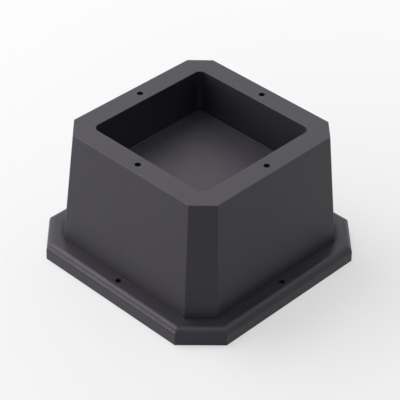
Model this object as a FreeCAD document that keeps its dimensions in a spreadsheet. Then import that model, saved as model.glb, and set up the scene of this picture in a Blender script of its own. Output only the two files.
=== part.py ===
"""Bed riser: a drafted square block with cut corners, a recess on top for a furniture leg and a foot flange.

One injection-moulded piece, hollow from below: an outer shell, a tub that forms the recess, and a lattice of ribs.
Millimetres, +Z up, origin at the middle of the base.
"""
import FreeCAD, Part
import math
import os

import Sketcher

NODE = "riser_body"
QUARTER_TURNS = 4
NEAR = 1e-4

# Driving sizes: alias, value, meaning. Drafts are in degrees.
DRIVING_SIZES = [
    ("overall_height", "76", "base plane to rim"),
    ("recess_width", "79", "leg recess across its mouth"),
    ("recess_depth", "25", "rim to recess floor"),
    ("recess_draft", "2.5", "lean of the recess walls"),
    ("recess_corner_radius", "4", "upright corners of the recess"),
    ("recess_floor_radius", "0.4", "fillet round the recess floor"),
    ("rim_width", "12", "flat rim, recess mouth to outer wall"),
    ("rim_cut", "10", "corner cut at the rim, along each side"),
    ("wall_draft", "4.7", "lean of the outer walls"),
    ("foot_cut", "11.8", "corner cut where the wall meets the flange"),
    ("flange_height", "9.3", "base plane to the flange's flat top"),
    ("flange_side_reach", "9.9", "flange beyond the wall on the sides"),
    ("flange_corner_reach", "9.2", "flange beyond the wall on the cut corners"),
    ("flange_draft", "1", "lean of the flange's outer face"),
    ("wall_edge_radius", "1", "upright edges beside the cut corners"),
    ("rim_edge_radius", "0.3", "outer edge of the rim"),
    ("mouth_edge_radius", "0.3", "edge of the recess mouth"),
    ("crease_radius", "0.2", "fillet between wall and flange"),
    ("flange_edge_radius", "4", "upper edge of the flange"),
    ("wall_thickness", "3", "outer wall"),
    ("rim_thickness", "3.2", "plate under the rim"),
    ("skirt_thickness", "2.5", "flange's outer wall"),
    ("flange_plate", "3", "plate under the flange's top"),
    ("cove_radius", "2", "fillet inside the flange, under its upper edge"),
    ("tub_wall", "3", "walls of the recess tub"),
    ("tub_floor", "3.5", "floor of the recess tub"),
    ("rib_thickness", "2.5", "lattice ribs"),
    ("rib_spacing", "40", "between the two ribs of each direction"),
    ("rim_hole_diameter", "3.4", "holes through the rim"),
    ("flange_hole_diameter", "3.2", "holes through the flange"),
]

# Sizes that follow from the driving ones. An octagon is given by two distances from the riser's axis:
# to its four sides and to its four cut corners.
DERIVED_SIZES = [
    ("recess_half", "recess_width / 2"),
    ("rim_side", "recess_half + rim_width"),
    ("rim_corner", "(2 * rim_side - rim_cut) / sqrt(2)"),
    ("wall_rise", "overall_height - flange_height"),
    ("wall_slope", "tan(wall_draft * 1 deg)"),
    ("foot_side", "rim_side + wall_rise * wall_slope"),
    ("foot_corner", "(2 * foot_side - foot_cut) / sqrt(2)"),
    ("corner_slope", "(foot_corner - rim_corner) / wall_rise"),
    ("corner_draft", "atan(corner_slope) / 1 deg"),
    ("base_side", "foot_side + flange_side_reach"),
    ("base_corner", "foot_corner + flange_corner_reach"),
    ("flange_slope", "tan(flange_draft * 1 deg)"),
    ("flange_top_side", "base_side - flange_height * flange_slope"),
    ("flange_top_corner", "base_corner - flange_height * flange_slope"),
    ("skirt_inner_side", "base_side - skirt_thickness"),
    ("skirt_inner_corner", "base_corner - skirt_thickness"),
    ("flange_underside", "flange_height - flange_plate"),
    ("rim_underside", "overall_height - rim_thickness"),
    ("core_side", "rim_side + rim_thickness * wall_slope - wall_thickness"),
    ("core_corner", "rim_corner + rim_thickness * corner_slope - wall_thickness"),
    ("recess_slope", "tan(recess_draft * 1 deg)"),
    ("recess_floor", "overall_height - recess_depth"),
    ("tub_half", "recess_half - rim_thickness * recess_slope + tub_wall"),
    ("tub_drop", "recess_depth + tub_floor - rim_thickness"),
    ("tub_base", "rim_underside - tub_drop"),
    ("tub_corner_radius", "recess_corner_radius + tub_wall"),
    ("rib_offset", "rib_spacing / 2"),
    ("rib_ledge", "flange_height - flange_plate / 2"),
    ("rib_head", "overall_height - rim_thickness / 2"),
    ("rib_base_reach", "base_side - skirt_thickness / 2"),
    ("rib_foot_reach", "foot_side - wall_thickness / 2"),
    ("rib_head_reach", "rim_side + rim_thickness / 2 * wall_slope - wall_thickness / 2"),
    ("rim_hole_reach", "recess_half + rim_width / 2"),
    ("flange_hole_reach", "(foot_side + flange_top_side - flange_edge_radius) / 2"),
    ("flange_hole_depth", "flange_plate + cove_radius"),
]

doc = FreeCAD.newDocument("bed_riser")

# The sheet of sizes
sizes = doc.addObject("Spreadsheet::Sheet", "sizes")
for row, (alias, value, meaning) in enumerate(DRIVING_SIZES, start=1):
    sizes.set(f"A{row}", meaning)
    sizes.set(f"B{row}", value)
    sizes.setAlias(f"B{row}", alias)
for row, (alias, formula) in enumerate(DERIVED_SIZES, start=len(DRIVING_SIZES) + 1):
    sizes.set(f"B{row}", "=" + formula)
    sizes.setAlias(f"B{row}", alias)
doc.recompute()

body = doc.addObject("PartDesign::Body", NODE)
body.Label = NODE


def size(alias):
    """The sheet's value for an alias, as a plain number."""
    return float(getattr(sizes, alias))


def origin_feature(role):
    """The body's own origin plane or axis with this role."""
    return next(item for item in body.Origin.OriginFeatures if item.Role == role)


# Sketches, each bound to the sheet


def new_sketch(name, plane, offset=None):
    """An empty sketch on one of the body's planes, moved along the plane's normal by the alias in offset."""
    sketch = body.newObject("Sketcher::SketchObject", name)
    sketch.AttachmentSupport = [(origin_feature(plane), "")]
    sketch.MapMode = "FlatFace"
    if offset:
        sketch.setExpression("AttachmentOffset.Base.z", f"sizes.{offset}")
    return sketch


def drive(sketch, constraint, name, alias):
    """Adds a dimension to a sketch, with a name, and binds it to the sheet."""
    index = sketch.addConstraint(Sketcher.Constraint(*constraint, size(alias)))
    sketch.renameConstraint(index, name)
    sketch.setExpression(f"Constraints.{name}", f"sizes.{alias}")


def closed_polygon(sketch, points):
    """Joins the points by lines, end to end. Line i runs from point i to point i + 1."""
    count = len(points)
    vectors = [FreeCAD.Vector(x, y, 0) for x, y in points]
    for i in range(count):
        sketch.addGeometry(Part.LineSegment(vectors[i], vectors[(i + 1) % count]))
    for i in range(count):
        sketch.addConstraint(Sketcher.Constraint("Coincident", i, 2, (i + 1) % count, 1))


def octagon(name, side, corner, height=None):
    """A square with cut corners, centred on the axis. side and corner are its distances from the axis."""
    sketch = new_sketch(name, "XY_Plane", height)
    far = size(side)
    near = math.sqrt(2) * size(corner) - far
    closed_polygon(sketch, [
        (far, -near), (far, near), (near, far), (-near, far),
        (-far, near), (-far, -near), (-near, -far), (near, -far),
    ])
    for line, axis in ((0, -1), (2, -2), (4, -1), (6, -2)):
        sketch.addConstraint(Sketcher.Constraint("Symmetric", line, 1, line, 2, axis))
    sketch.addConstraint(Sketcher.Constraint("Symmetric", 0, 2, 4, 1, -2))
    sketch.addConstraint(Sketcher.Constraint("Symmetric", 2, 1, 6, 2, -1))
    sketch.addConstraint(Sketcher.Constraint("Equal", 0, 2))
    drive(sketch, ("DistanceX", -1, 1, 0, 1), "side_x", side)
    drive(sketch, ("DistanceY", -1, 1, 2, 1), "side_y", side)
    drive(sketch, ("Distance", -1, 1, 1), "cut_corner", corner)
    return sketch


def square(name, half, height):
    """A square centred on the axis. half is its sides' distance from the axis."""
    sketch = new_sketch(name, "XY_Plane", height)
    far = size(half)
    closed_polygon(sketch, [(far, -far), (far, far), (-far, far), (-far, -far)])
    sketch.addConstraint(Sketcher.Constraint("Symmetric", 0, 1, 0, 2, -1))
    sketch.addConstraint(Sketcher.Constraint("Symmetric", 2, 1, 2, 2, -1))
    sketch.addConstraint(Sketcher.Constraint("Symmetric", 1, 1, 1, 2, -2))
    drive(sketch, ("DistanceX", -1, 1, 0, 2), "half_x", half)
    drive(sketch, ("DistanceY", -1, 1, 0, 2), "half_y", half)
    return sketch


def hole_outline(name, reach, diameter, height):
    """One circle on the X axis, its centre reach away from the riser's axis."""
    sketch = new_sketch(name, "XY_Plane", height)
    centre = FreeCAD.Vector(size(reach), 0, 0)
    sketch.addGeometry(Part.Circle(centre, FreeCAD.Vector(0, 0, 1), size(diameter) / 2))
    sketch.addConstraint(Sketcher.Constraint("PointOnObject", 0, 3, -1))
    drive(sketch, ("DistanceX", -1, 1, 0, 3), "reach", reach)
    drive(sketch, ("Diameter", 0), "across", diameter)
    return sketch


def rib_plate_outline(name):
    """The upright outline of one rib: it ends inside the skirt, the walls and the plate under the rim."""
    sketch = new_sketch(name, "XZ_Plane", "rib_offset")
    base = size("rib_base_reach")
    foot = size("rib_foot_reach")
    head = size("rib_head_reach")
    ledge = size("rib_ledge")
    top = size("rib_head")
    closed_polygon(sketch, [
        (-base, 0), (base, 0), (base, ledge), (foot, ledge),
        (head, top), (-head, top), (-foot, ledge), (-base, ledge),
    ])
    mirrored_ends = ((0, 2, 0, 1), (1, 2, 7, 1), (2, 2, 6, 1), (4, 1, 4, 2))
    for right_line, right_end, left_line, left_end in mirrored_ends:
        sketch.addConstraint(Sketcher.Constraint("Symmetric", right_line, right_end, left_line, left_end, -2))
    sketch.addConstraint(Sketcher.Constraint("PointOnObject", 0, 2, -1))
    sketch.addConstraint(Sketcher.Constraint("Vertical", 1))
    sketch.addConstraint(Sketcher.Constraint("Horizontal", 2))
    drive(sketch, ("DistanceX", -1, 1, 0, 2), "base_reach", "rib_base_reach")
    drive(sketch, ("DistanceX", -1, 1, 2, 2), "foot_reach", "rib_foot_reach")
    drive(sketch, ("DistanceX", -1, 1, 4, 1), "head_reach", "rib_head_reach")
    drive(sketch, ("DistanceY", -1, 1, 2, 2), "ledge", "rib_ledge")
    drive(sketch, ("DistanceY", -1, 1, 4, 1), "head", "rib_head")
    return sketch


# Faces and edges of the body so far, found by where they lie


def at_height(point, alias):
    """True at the height of an alias, or at the base plane for None."""
    height = size(alias) if alias else 0
    return abs(point.z - height) < NEAR


def on_outline(point, height, side, corner):
    """True for a point on the outline of that octagon, at that height."""
    x = abs(point.x)
    y = abs(point.y)
    past_outline = max(x - size(side), y - size(side), (x + y) / math.sqrt(2) - size(corner))
    return at_height(point, height) and abs(past_outline) < NEAR


def level_face(height):
    """The name of a flat face that lies at one height."""
    for number, face in enumerate(body.Tip.Shape.Faces, start=1):
        if all(at_height(vertex.Point, height) for vertex in face.Vertexes):
            return f"Face{number}"
    raise RuntimeError(f"no face lies at {height or 'the base plane'}")


def upright_faces(low, high):
    """Names of the faces that run from one height to another: those of the sides, and those of the cut corners."""
    sides = []
    corners = []
    for number, face in enumerate(body.Tip.Shape.Faces, start=1):
        points = [vertex.Point for vertex in face.Vertexes]
        lower = [point for point in points if at_height(point, low)]
        upper = [point for point in points if at_height(point, high)]
        if not lower or not upper or len(lower) + len(upper) < len(points):
            continue
        normal = face.normalAt(0, 0)
        faces_a_corner = min(abs(normal.x), abs(normal.y)) > NEAR
        (corners if faces_a_corner else sides).append(f"Face{number}")
    return sides, corners


def edges_where(belongs):
    """Names of the edges whose every vertex passes the test belongs(point)."""
    return [
        f"Edge{number}"
        for number, edge in enumerate(body.Tip.Shape.Edges, start=1)
        if all(belongs(vertex.Point) for vertex in edge.Vertexes)
    ]


def edges_joining(starts, ends):
    """Names of the edges with one vertex that passes each of the two tests."""
    names = []
    for number, edge in enumerate(body.Tip.Shape.Edges, start=1):
        points = [vertex.Point for vertex in edge.Vertexes]
        if sum(map(starts, points)) == 1 and sum(map(ends, points)) == 1:
            names.append(f"Edge{number}")
    return names


# Features


def extrude(kind, name, sketch, length, way):
    """A straight Pad or Pocket from its sketch, up or down by the alias in length."""
    feature = body.newObject(f"PartDesign::{kind}", name)
    feature.Profile = sketch
    own_way = {"Pad": "up", "Pocket": "down"}[kind]
    feature.Reversed = way != own_way
    feature.setExpression("Length", f"sizes.{length}")
    doc.recompute()
    return feature


def draft(name, faces, neutral, angle, release):
    """Leans faces by an angle of the sheet, so that the mould leaves them upwards or downwards.

    Their edges at the neutral height stay where they are.
    """
    base = body.Tip
    neutral_face = level_face(neutral)
    feature = body.newObject("PartDesign::Draft", name)
    feature.Base = (base, faces)
    feature.NeutralPlane = (base, [neutral_face])
    feature.setExpression("Angle", f"sizes.{angle} * 1 deg")
    feature.Reversed = release == "down"
    doc.recompute()


def fillet(name, edges, radius):
    """Rounds edges by a radius of the sheet."""
    base = body.Tip
    feature = body.newObject("PartDesign::Fillet", name)
    feature.Base = (base, edges)
    feature.setExpression("Radius", f"sizes.{radius}")
    doc.recompute()


def four_ways(name, feature):
    """Repeats a feature at every quarter turn round the riser's axis."""
    pattern = body.newObject("PartDesign::PolarPattern", name)
    pattern.Originals = [feature]
    pattern.Axis = (origin_feature("Z_Axis"), [""])
    pattern.Angle = 360
    pattern.Occurrences = QUARTER_TURNS
    body.Tip = pattern
    doc.recompute()


# Outer walls: the rim's outline carried down to the flange, leaning outwards
extrude("Pad", "walls", octagon("rim_outline", "rim_side", "rim_corner", "overall_height"), "wall_rise", "down")
wall_sides, _ = upright_faces("flange_height", "overall_height")
draft("wall_lean", wall_sides, "overall_height", "wall_draft", "up")
_, wall_corners = upright_faces("flange_height", "overall_height")
draft("corner_lean", wall_corners, "overall_height", "corner_draft", "up")

# Foot flange
extrude("Pad", "flange", octagon("base_outline", "base_side", "base_corner"), "flange_height", "up")
flange_sides, flange_corners = upright_faces(None, "flange_height")
draft("flange_lean", flange_sides + flange_corners, None, "flange_draft", "up")

# Soft edges of the outside


def on_wall_head(point):
    return on_outline(point, "overall_height", "rim_side", "rim_corner")


def on_wall_foot(point):
    return on_outline(point, "flange_height", "foot_side", "foot_corner")


def on_flange_top(point):
    return on_outline(point, "flange_height", "flange_top_side", "flange_top_corner")


fillet("wall_edges", edges_joining(on_wall_head, on_wall_foot), "wall_edge_radius")
fillet("wall_crease", edges_where(on_wall_foot), "crease_radius")
fillet("rim_edge", edges_where(on_wall_head), "rim_edge_radius")
fillet("flange_edge", edges_where(on_flange_top), "flange_edge_radius")

# Hollow of the flange, with a cove under its rounded edge
skirt_inner_outline = octagon("skirt_inner_outline", "skirt_inner_side", "skirt_inner_corner")
extrude("Pocket", "flange_hollow", skirt_inner_outline, "flange_underside", "up")


def on_cove(point):
    return on_outline(point, "flange_underside", "skirt_inner_side", "skirt_inner_corner")


fillet("flange_cove", edges_where(on_cove), "cove_radius")

# Hollow of the walls, up to the plate under the rim
core_outline = octagon("core_outline", "core_side", "core_corner", "rim_underside")
extrude("Pocket", "wall_hollow", core_outline, "rim_underside", "down")
core_sides, _ = upright_faces("flange_underside", "rim_underside")
draft("core_lean", core_sides, "rim_underside", "wall_draft", "down")
_, core_corners = upright_faces("flange_underside", "rim_underside")
draft("core_corner_lean", core_corners, "rim_underside", "corner_draft", "down")

# Tub for the recess, still solid, hung from the plate under the rim
extrude("Pad", "tub", square("tub_outline", "tub_half", "rim_underside"), "tub_drop", "down")
tub_sides, _ = upright_faces("tub_base", "rim_underside")
draft("tub_lean", tub_sides, "rim_underside", "recess_draft", "down")

# Lattice of ribs that carries the tub
rib = extrude("Pad", "rib", rib_plate_outline("rib_outline"), "rib_thickness", "up")
rib.SideType = "Symmetric"
doc.recompute()
four_ways("rib_lattice", rib)

# Recess for the leg, cut into the tub
extrude("Pocket", "recess", square("recess_outline", "recess_half", "overall_height"), "recess_depth", "down")
recess_sides, _ = upright_faces("recess_floor", "overall_height")
draft("recess_lean", recess_sides, "overall_height", "recess_draft", "up")


def at_recess_floor(point):
    return at_height(point, "recess_floor")


def at_mouth(point):
    within_mouth = max(abs(point.x), abs(point.y)) < size("recess_half") + NEAR
    return within_mouth and at_height(point, "overall_height")


def at_tub_base(point):
    return at_height(point, "tub_base")


def at_rim_underside(point):
    return at_height(point, "rim_underside")


fillet("recess_corners", edges_joining(at_recess_floor, at_mouth), "recess_corner_radius")
fillet("recess_floor_edge", edges_where(at_recess_floor), "recess_floor_radius")
fillet("recess_mouth_edge", edges_where(at_mouth), "mouth_edge_radius")
fillet("tub_corners", edges_joining(at_tub_base, at_rim_underside), "tub_corner_radius")

# Round holes in the middle of each side, through the rim and through the flange
rim_hole_outline = hole_outline("rim_hole_outline", "rim_hole_reach", "rim_hole_diameter", "overall_height")
four_ways("rim_holes", extrude("Pocket", "rim_hole", rim_hole_outline, "rim_thickness", "down"))
flange_hole_outline = hole_outline(
    "flange_hole_outline", "flange_hole_reach", "flange_hole_diameter", "flange_height"
)
four_ways("flange_holes", extrude("Pocket", "flange_hole", flange_hole_outline, "flange_hole_depth", "down"))

# Nothing is written unless every object is sound
for item in doc.Objects:
    if "Invalid" in item.State or "Error" in item.State:
        raise RuntimeError(f"{item.Name} failed: {item.State}")
shape = body.Shape
if shape.isNull() or not shape.isValid() or len(shape.Solids) != 1:
    raise RuntimeError(f"{NODE} is not one sound solid")

os.makedirs("parts", exist_ok=True)
shape.exportStep(f"parts/{body.Label}.step")
box = shape.BoundBox
print(f"{body.Label}: {box.XLength:.2f} x {box.YLength:.2f} x {box.ZLength:.2f} mm, {shape.Volume / 1000:.1f} cm3")
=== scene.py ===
"""Bed riser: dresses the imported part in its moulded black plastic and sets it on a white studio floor."""
import math

import bpy
import numpy as np
from mathutils import Matrix, Vector

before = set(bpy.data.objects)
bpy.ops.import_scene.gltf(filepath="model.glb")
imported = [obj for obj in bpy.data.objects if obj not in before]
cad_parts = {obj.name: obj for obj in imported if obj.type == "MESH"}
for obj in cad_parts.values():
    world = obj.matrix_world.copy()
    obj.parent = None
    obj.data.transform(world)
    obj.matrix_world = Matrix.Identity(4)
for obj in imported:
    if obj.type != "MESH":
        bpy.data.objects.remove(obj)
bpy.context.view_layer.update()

# The riser body is the whole object: one injection moulding in black polypropylene. The mould's face was
# spark-eroded, so the plastic has a fine grain with a dull satin sheen, and handling burnishes its sharp
# edges.
PLASTIC = (0.0334, 0.0313, 0.0394, 1.0)
PLASTIC_PALE_PATCH = (0.0370, 0.0349, 0.0434, 1.0)
PLASTIC_BURNISHED = (0.0435, 0.0412, 0.0505, 1.0)
# The crease colour is painted shade: it darkens creases to stand in for the shade that falls there.
PLASTIC_PAINTED_CREASE_SHADE = (0.0150, 0.0140, 0.0183, 1.0)
SPECULAR_LEVEL = 0.31
SPECULAR_TINT = (0.96, 0.90, 1.0, 1.0)
ROUGHNESS_DULL = 0.42
ROUGHNESS_SATIN = 0.33
ROUGHNESS_BURNISHED = 0.33
ROUGHNESS_IN_CREASE = 0.80
GRAIN_PER_METRE = 1500.0
GRAIN_DEPTH = 0.00010
GRAIN_STRENGTH = 0.8
MOTTLE_PER_METRE = 38.0
MOTTLE_DEPTH = 0.0001
MOTTLE_STRENGTH = 0.5
MOTTLE_SPREAD = (0.35, 0.7)
SATIN_PATCHES_PER_METRE = 240.0
SATIN_SPREAD = (0.3, 0.7)
BURNISH_REACH = 0.0011
BURNISH_OPENNESS = (0.95, 0.65)
BURNISH_SPREAD = (0.35, 0.65)
BURNISH_LEAST = 0.25
CREASE_REACH = 0.005
CREASE_OPENNESS = (0.92, 0.5)
OPENNESS_SAMPLES = 8


def add_node(tree, kind, **values):
    """A new shader node. A value is set on the input socket of that name, or on the node's own property."""
    node = tree.nodes.new(kind)
    for name, value in values.items():
        label = name.replace("_", " ").title()
        if label in node.inputs:
            node.inputs[label].default_value = value
        else:
            setattr(node, name, value)
    return node


def noise(tree, place, per_metre, detail, roughness):
    """Fractal noise from 0 to 1 on the piece's own coordinates, with per_metre features to the metre."""
    texture = add_node(tree, "ShaderNodeTexNoise", scale=per_metre, detail=detail, roughness=roughness)
    tree.links.new(place, texture.inputs["Vector"])
    return texture.outputs["Fac"]


def openness(tree, reach, inside):
    """The share of rays, sent out of the surface or into it, that meet none of the piece within reach."""
    node = add_node(tree, "ShaderNodeAmbientOcclusion", distance=reach, inside=inside, only_local=True)
    node.samples = OPENNESS_SAMPLES
    return node.outputs["AO"]


def remap(tree, value, low, high, to_low, to_high):
    """Carries a value from one range to another in a straight line, stopping at the ends."""
    node = add_node(tree, "ShaderNodeMapRange", from_min=low, from_max=high, to_min=to_low, to_max=to_high)
    tree.links.new(value, node.inputs["Value"])
    return node.outputs["Result"]


def by_identifier(sockets):
    """A mix node's sockets by their identifiers, because their names repeat."""
    return {socket.identifier: socket for socket in sockets}


def blend_colour(tree, share, first, second):
    """Goes from the first colour to the second as share goes from 0 to 1. Each is a colour or a socket."""
    node = add_node(tree, "ShaderNodeMix", data_type="RGBA")
    inputs = by_identifier(node.inputs)
    tree.links.new(share, inputs["Factor_Float"])
    for socket, colour in ((inputs["A_Color"], first), (inputs["B_Color"], second)):
        if isinstance(colour, tuple):
            socket.default_value = colour
        else:
            tree.links.new(colour, socket)
    return by_identifier(node.outputs)["Result_Color"]


def blend_value(tree, share, first, end_value):
    """Goes from a first value to a fixed end value as share goes from 0 to 1."""
    node = add_node(tree, "ShaderNodeMix", data_type="FLOAT")
    inputs = by_identifier(node.inputs)
    tree.links.new(share, inputs["Factor_Float"])
    tree.links.new(first, inputs["A_Float"])
    inputs["B_Float"].default_value = end_value
    return by_identifier(node.outputs)["Result_Float"]


def multiply(tree, first, second):
    """The product of two values."""
    node = add_node(tree, "ShaderNodeMath", operation="MULTIPLY")
    tree.links.new(first, node.inputs[0])
    tree.links.new(second, node.inputs[1])
    return node.outputs[0]


def bump(tree, height, depth, strength, under=None):
    """Tilts the surface by a height value whose full range stands depth metres tall, over another bump."""
    node = add_node(tree, "ShaderNodeBump", strength=strength, distance=depth)
    tree.links.new(height, node.inputs["Height"])
    if under:
        tree.links.new(under, node.inputs["Normal"])
    return node.outputs["Normal"]


def moulded_black_plastic():
    """Near-black satin plastic with mould grain, faint cloudy mottling and burnished outer edges.

    Colour and roughness start from the body's own, go to burnished at outer edges, then to dull in creases,
    where the colour also darkens as painted shade.
    """
    material = bpy.data.materials.new("moulded_black_plastic")
    material.use_nodes = True
    tree = material.node_tree
    shader = tree.nodes["Principled BSDF"]
    place = tree.nodes.new("ShaderNodeTexCoord").outputs["Object"]
    mottle = noise(tree, place, MOTTLE_PER_METRE, detail=3.0, roughness=0.55)
    patches = noise(tree, place, SATIN_PATCHES_PER_METRE, detail=4.0, roughness=0.6)
    grain = noise(tree, place, GRAIN_PER_METRE, detail=3.0, roughness=0.65)

    # Rays sent inwards soon meet the other face of an outer edge, and rays sent outwards that of a crease
    edge = remap(tree, openness(tree, BURNISH_REACH, inside=True), *BURNISH_OPENNESS, 0.0, 1.0)
    burnish = multiply(tree, edge, remap(tree, patches, *BURNISH_SPREAD, BURNISH_LEAST, 1.0))
    # The crease mask paints shade into the colour in creases and makes the plastic duller there.
    crease = remap(tree, openness(tree, CREASE_REACH, inside=False), *CREASE_OPENNESS, 0.0, 1.0)

    pale = remap(tree, mottle, *MOTTLE_SPREAD, 0.0, 1.0)
    body_colour = blend_colour(tree, pale, PLASTIC, PLASTIC_PALE_PATCH)
    worn_colour = blend_colour(tree, burnish, body_colour, PLASTIC_BURNISHED)
    # Painted shade: the colour darkens towards the crease colour in creases.
    tree.links.new(blend_colour(tree, crease, worn_colour, PLASTIC_PAINTED_CREASE_SHADE), shader.inputs["Base Color"])

    body_sheen = remap(tree, patches, *SATIN_SPREAD, ROUGHNESS_SATIN, ROUGHNESS_DULL)
    worn_sheen = blend_value(tree, burnish, body_sheen, ROUGHNESS_BURNISHED)
    tree.links.new(blend_value(tree, crease, worn_sheen, ROUGHNESS_IN_CREASE), shader.inputs["Roughness"])

    uneven = bump(tree, mottle, MOTTLE_DEPTH, MOTTLE_STRENGTH)
    tree.links.new(bump(tree, grain, GRAIN_DEPTH, GRAIN_STRENGTH, uneven), shader.inputs["Normal"])
    shader.inputs["Specular IOR Level"].default_value = SPECULAR_LEVEL
    shader.inputs["Specular Tint"].default_value = SPECULAR_TINT
    return material


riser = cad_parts["riser_body"]
riser.material_slots[0].material = moulded_black_plastic()

# The studio floor is a sheet of white paper, wide enough to have no edge in view. It keeps the riser's soft
# shadow near by and runs out to plain white.
FLOOR_HALF_WIDTH = 4.0
FLOOR_BELOW_BASE = 0.0002
PAPER = (0.86, 0.86, 0.86, 1.0)
WHITE = (1.0, 1.0, 1.0, 1.0)
SHADOW_REACH = (0.12, 0.42)
WHITE_NEAR_BY = 0.55
UNDER_RISER = (0.062, 0.066)


def background_rays(tree):
    """1 on a camera, reflection or transmission ray, which shows the background itself, and 0 on others."""
    path = tree.nodes.new("ShaderNodeLightPath")
    seen = path.outputs["Is Camera Ray"]
    for ray in ("Is Glossy Ray", "Is Transmission Ray"):
        either = add_node(tree, "ShaderNodeMath", operation="MAXIMUM")
        tree.links.new(seen, either.inputs[0])
        tree.links.new(path.outputs[ray], either.inputs[1])
        seen = either.outputs[0]
    return seen


def white_paper():
    """Matt white paper that fades with distance from the riser to a plain white, and stays dark under it."""
    material = bpy.data.materials.new("white_paper")
    material.use_nodes = True
    tree = material.node_tree
    tree.nodes.clear()
    place = tree.nodes.new("ShaderNodeTexCoord").outputs["Object"]
    distance = add_node(tree, "ShaderNodeVectorMath", operation="LENGTH")
    tree.links.new(place, distance.inputs[0])
    fade = remap(tree, distance.outputs["Value"], *SHADOW_REACH, WHITE_NEAR_BY, 1.0)
    uncovered = remap(tree, distance.outputs["Value"], *UNDER_RISER, 0.0, 1.0)
    glow = multiply(tree, fade, uncovered)
    paper = add_node(tree, "ShaderNodeBsdfDiffuse", color=PAPER)
    white = add_node(tree, "ShaderNodeEmission", color=WHITE, strength=1.0)
    surface = tree.nodes.new("ShaderNodeMixShader")
    tree.links.new(multiply(tree, glow, background_rays(tree)), surface.inputs[0])
    tree.links.new(paper.outputs[0], surface.inputs[1])
    tree.links.new(white.outputs[0], surface.inputs[2])
    output = tree.nodes.new("ShaderNodeOutputMaterial")
    tree.links.new(surface.outputs[0], output.inputs["Surface"])
    return material


corners = np.array([(-1, -1, 0), (1, -1, 0), (1, 1, 0), (-1, 1, 0)]) * FLOOR_HALF_WIDTH
corners[:, 2] = -FLOOR_BELOW_BASE
floor_mesh = bpy.data.meshes.new("floor")
floor_mesh.from_pydata(corners.tolist(), [], [(0, 1, 2, 3)])
floor_mesh.materials.append(white_paper())
floor = bpy.data.objects.new("floor", floor_mesh)
bpy.context.collection.objects.link(floor)

# The light is a large softbox above and behind on the left with a low strip beside it, a wide one overhead,
# and faint ones behind and on the right. The white floor throws light back, and the white room shows in
# reflections.
LAMP_AIM = Vector((0.0, 0.0, 0.03))


def softbox(name, place, width, height, watts):
    """A rectangular softbox at a place, facing the riser."""
    lamp = bpy.data.lights.new(name, "AREA")
    lamp.shape = "RECTANGLE"
    lamp.size = width
    lamp.size_y = height
    lamp.energy = watts
    fixture = bpy.data.objects.new(name, lamp)
    fixture.location = place
    fixture.rotation_euler = (LAMP_AIM - Vector(place)).to_track_quat("-Z", "Y").to_euler()
    bpy.context.collection.objects.link(fixture)


softbox("main_softbox", place=(-0.23, 0.73, 0.99), width=0.9, height=0.9, watts=10.5)
softbox("left_strip", place=(-1.00, 0.70, 0.22), width=1.0, height=0.35, watts=6.7)
softbox("rear_softbox", place=(0.55, 0.50, 0.90), width=0.9, height=0.9, watts=1.8)
softbox("right_softbox", place=(0.70, -0.36, 0.92), width=0.9, height=0.9, watts=1.6)
softbox("overhead_softbox", place=(0.05, 0.05, 1.33), width=1.2, height=1.2, watts=5.4)

world = bpy.data.worlds.new("white_room")
bpy.context.scene.world = world
world.use_nodes = True
room = world.node_tree
backdrop = room.nodes["Background"]
backdrop.inputs["Color"].default_value = WHITE
room.links.new(background_rays(room), backdrop.inputs["Strength"])

# The camera stands where the photograph was taken from, turned to the riser and zoomed in on it with a long
# lens. A small roll gives the riser the tilt that it has in the photograph.
CAMERA_PLACE = Vector((-0.5177, -0.4935, 0.5679))
CAMERA_AIM = Vector((0.0, 0.0, 0.030))
CAMERA_ROLL = math.radians(1.28)
LENS_MM = 152.0
SENSOR_MM = 36.0
NEAREST_SEEN = 0.05

camera = bpy.data.cameras.new("camera")
camera.lens = LENS_MM
camera.sensor_width = SENSOR_MM
camera.clip_start = NEAREST_SEEN
stand = bpy.data.objects.new("camera", camera)
facing = (CAMERA_AIM - CAMERA_PLACE).to_track_quat("-Z", "Y").to_matrix().to_4x4()
stand.matrix_world = Matrix.Translation(CAMERA_PLACE) @ facing @ Matrix.Rotation(CAMERA_ROLL, 4, "Z")
bpy.context.collection.objects.link(stand)
bpy.context.scene.camera = stand
bpy.context.scene.view_settings.view_transform = "Standard"
